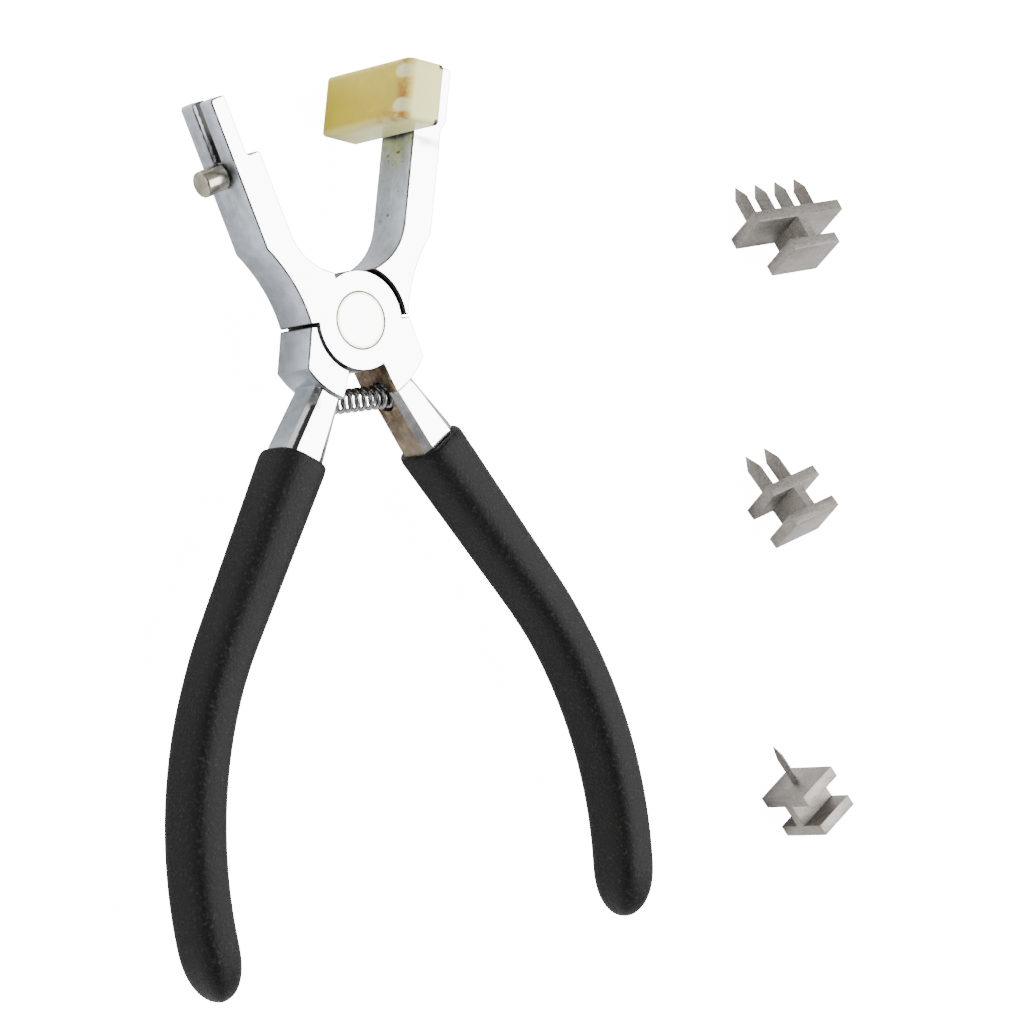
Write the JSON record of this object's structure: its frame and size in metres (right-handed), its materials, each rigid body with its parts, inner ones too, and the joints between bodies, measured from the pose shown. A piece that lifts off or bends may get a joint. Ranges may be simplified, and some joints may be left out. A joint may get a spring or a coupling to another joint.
{
  "type": "stitch hole punching pliers",
  "caption": "Spring-open lap-joint pliers with a slotted die jaw, a translucent anvil block, dipped grips and loose pronged punch dies.",
  "frame": {"origin": "on the pivot axis at the rear flat of the lap joint", "axes": "+Z along the pivot axis from the rear flat to the front flat, +Y along the tool from the joint towards the jaws, +X towards the anvil jaw"},
  "size_m": [0.1863, 0.1713, 0.028],
  "materials": {
    "chrome": "polished chrome over forged steel, fine grinding marks",
    "rivet_steel": "ground flush, faint turning rings",
    "spring_steel": "bright drawn wire",
    "nickel": "warm nickel plate, turned",
    "nylon": "translucent amber plastic, satin moulded skin",
    "vinyl": "dipped vinyl, fine pebbled matte",
    "die_steel": "wire-cut steel, grainy matte with fine striations"
  },
  "bodies": {
    "rear_side": {"rear_lever": "chrome", "pivot_rivet": "rivet_steel", "anvil_block": "nylon", "anvil_screw_upper": "nickel", "anvil_screw_lower": "nickel", "left_grip": "vinyl", "return_spring": "spring_steel"},
    "front_side": {"front_lever": "chrome", "right_grip": "vinyl"},
    "lock_screw": {"die_lock_screw": "nickel"},
    "four_prong_die": {"die_four_prong": "die_steel"},
    "two_prong_die": {"die_two_prong": "die_steel"},
    "one_prong_die": {"die_one_prong": "die_steel"}
  },
  "joints": [
    {"name": "jaw_hinge", "type": "hinge", "parent": "rear_side", "child": "front_side", "pos_m": [0, 0, 0.0054], "axis": [0, 0, -1], "range_deg": [0, 29], "stiffness_Nm_per_rad": 0.35, "springref_deg": -14.32, "deforming": ["return_spring"]},
    {"name": "lock_screw_out", "type": "slide", "parent": "front_side", "child": "lock_screw", "axis": [-0.9613, -0.2756, 0], "range_m": [0, 0.002]},
    {"name": "four_prong_lift", "type": "slide", "parent": "rear_side", "child": "four_prong_die", "axis": [0, 0, 1], "range_m": [0, 0.02]},
    {"name": "two_prong_lift", "type": "slide", "parent": "rear_side", "child": "two_prong_die", "axis": [0, 0, 1], "range_m": [0, 0.02]},
    {"name": "one_prong_lift", "type": "slide", "parent": "rear_side", "child": "one_prong_die", "axis": [0, 0, 1], "range_m": [0, 0.02]}
  ]
}
